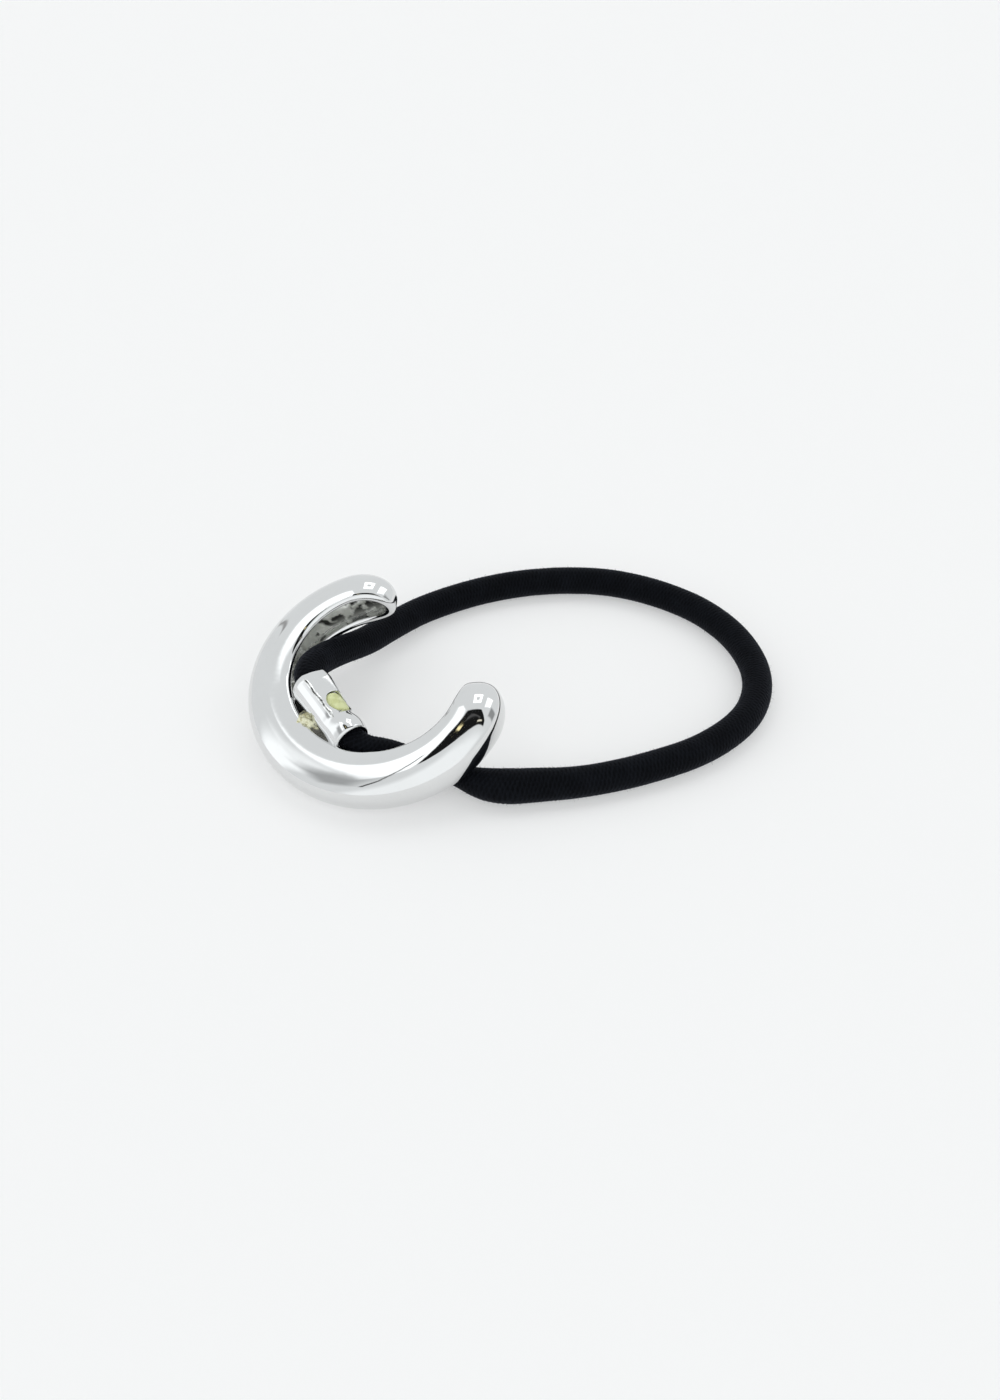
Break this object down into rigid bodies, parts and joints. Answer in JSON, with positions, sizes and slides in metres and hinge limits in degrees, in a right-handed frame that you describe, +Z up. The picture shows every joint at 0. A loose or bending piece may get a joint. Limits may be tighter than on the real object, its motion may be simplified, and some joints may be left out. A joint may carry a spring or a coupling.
{
  "type": "hair tie",
  "caption": "Hair tie: a black elastic cord loop through a small tube that is soldered inside a polished, domed, C-shaped metal cuff.",
  "frame": {"origin": "middle of the cuff's box, on the surface it rests on", "axes": "+Z up from the surface; the cuff's open side and the loose cord loop lie towards +X, the far arm of the cuff towards +Y"},
  "size_m": [0.069, 0.0502, 0.0143],
  "materials": {
    "polished_metal": "plated, polished outside and rough cast inside",
    "glue": "cured, yellowish, glossy",
    "cord_cloth": "woven cover, finely ribbed, matt"
  },
  "bodies": {
    "root": {"cuff": "polished_metal", "seam_glue": "glue", "elastic_cord": "cord_cloth"}
  },
  "joints": []
}
